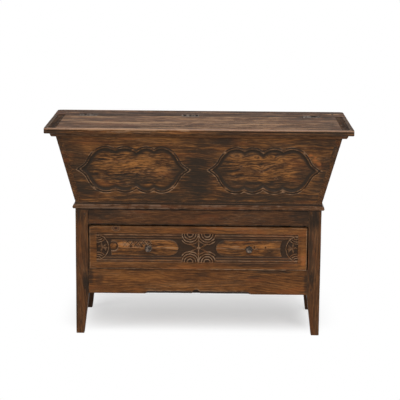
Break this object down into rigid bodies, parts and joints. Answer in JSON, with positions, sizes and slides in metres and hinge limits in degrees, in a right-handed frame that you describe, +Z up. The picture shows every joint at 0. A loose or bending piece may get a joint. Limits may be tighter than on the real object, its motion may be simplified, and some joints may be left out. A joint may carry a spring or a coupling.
{
  "type": "kneading trough",
  "caption": "Splayed wooden kneading trough with a hinged moulded lid and scalloped carved front, on a legged stand with a carved drawer.",
  "frame": {"origin": "on the floor, under the middle of the whole piece", "axes": "+X to the right along the front, +Y to the back, +Z up"},
  "size_m": [1.32, 0.5928, 0.923],
  "materials": {
    "carcass_walnut": "old waxed walnut, dark brown",
    "light_walnut": "old waxed walnut, worn and warmer",
    "dark_walnut": "old waxed walnut, almost black with age",
    "lid_walnut": "old scrubbed walnut, grey brown",
    "inner_wood": "unwaxed softwood, dry",
    "iron": "old forged iron, dull dark grey"
  },
  "bodies": {
    "stand": {"front_left_leg": "light_walnut", "front_right_leg": "light_walnut", "back_left_leg": "light_walnut", "back_right_leg": "light_walnut", "front_top_rail": "carcass_walnut", "front_apron": "light_walnut", "left_top_rail": "carcass_walnut", "left_bottom_rail": "carcass_walnut", "left_panel": "dark_walnut", "right_top_rail": "carcass_walnut", "right_bottom_rail": "carcass_walnut", "right_panel": "dark_walnut", "back_top_rail": "dark_walnut", "back_bottom_rail": "dark_walnut", "back_panel": "inner_wood", "left_drawer_runner": "inner_wood", "right_drawer_runner": "inner_wood", "drawer_kickers": "inner_wood", "drawer_stops": "inner_wood", "joint_pegs": "dark_walnut", "waist_moulding_front": "carcass_walnut", "waist_moulding_left": "carcass_walnut", "waist_moulding_right": "carcass_walnut", "trough_front_board": "carcass_walnut", "trough_back_board": "dark_walnut", "trough_left_end": "carcass_walnut", "trough_right_end": "carcass_walnut", "trough_floor_front": "inner_wood", "trough_floor_back": "inner_wood", "trough_nails": "iron", "floor_nails": "iron", "rim_moulding_front": "dark_walnut", "rim_moulding_left": "dark_walnut", "rim_moulding_right": "dark_walnut", "back_rail": "lid_walnut", "back_rail_nails": "iron", "rail_hinge_leaves": "iron", "hinge_pins": "iron", "rail_hinge_nails": "iron"},
    "lid": {"lid_front_plank": "lid_walnut", "lid_back_plank": "lid_walnut", "lid_left_cleat": "dark_walnut", "lid_right_cleat": "dark_walnut", "lid_front_moulding": "lid_walnut", "lid_left_moulding": "lid_walnut", "lid_right_moulding": "lid_walnut", "lid_hinge_leaves": "iron", "lid_nails": "iron"},
    "drawer": {"drawer_front": "light_walnut", "drawer_left_side": "inner_wood", "drawer_right_side": "inner_wood", "drawer_back": "inner_wood", "drawer_bottom": "inner_wood", "left_knob": "iron", "right_knob": "iron", "knob_roses": "iron", "knob_nuts": "iron"}
  },
  "joints": [
    {"name": "lid_hinge", "type": "hinge", "parent": "stand", "child": "lid", "pos_m": [0, 0.13036, 0.918], "axis": [-1, 0, 0], "range_deg": [0, 100]},
    {"name": "drawer_slide", "type": "slide", "parent": "stand", "child": "drawer", "axis": [0, -1, 0], "range_m": [0, 0.34]}
  ]
}
